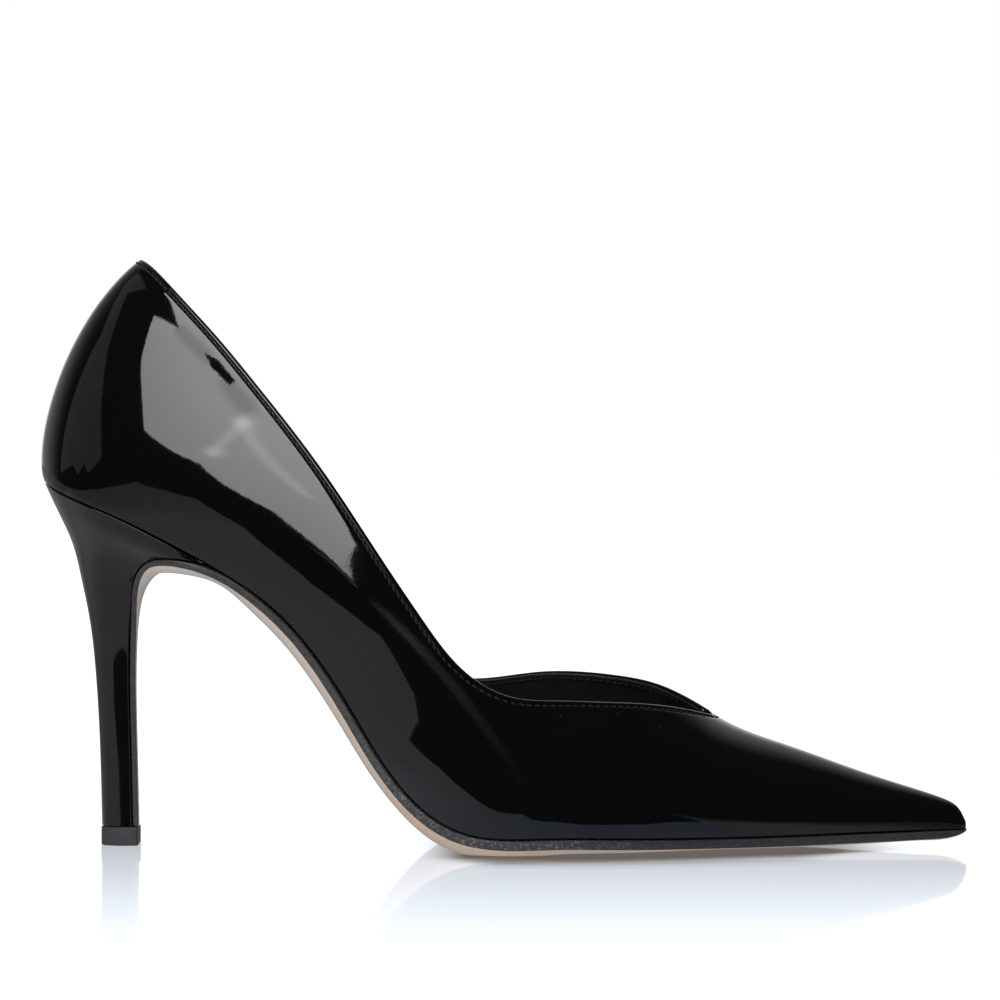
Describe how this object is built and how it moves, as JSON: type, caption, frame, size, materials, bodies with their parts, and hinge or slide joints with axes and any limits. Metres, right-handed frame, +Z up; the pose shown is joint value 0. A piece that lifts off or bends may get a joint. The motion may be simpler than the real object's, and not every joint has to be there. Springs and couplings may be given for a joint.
{
  "type": "pump shoe",
  "caption": "Left pointed-toe court shoe with a V-cut throat, patent upper, leather sole that runs along the arch and down the heel breast, slim covered high heel and small heel tip.",
  "frame": {"origin": "middle of the shoe's box in X and Y, on the floor", "axes": "+X to the toe, +Y to the outer side of the foot, +Z up"},
  "size_m": [0.2302, 0.0752, 0.146],
  "materials": {
    "patent_leather": "black patent, mirror gloss",
    "sock_leather": "black smooth lining leather",
    "sole_leather": "pale smooth sole leather with a black painted edge",
    "heel_cover": "hard core covered in black patent leather",
    "tip_rubber": "matt dark grey"
  },
  "bodies": {
    "root": {"upper": "patent_leather", "insole": "sock_leather", "outsole": "sole_leather", "heel": "heel_cover", "heel_tip": "tip_rubber"}
  },
  "joints": []
}
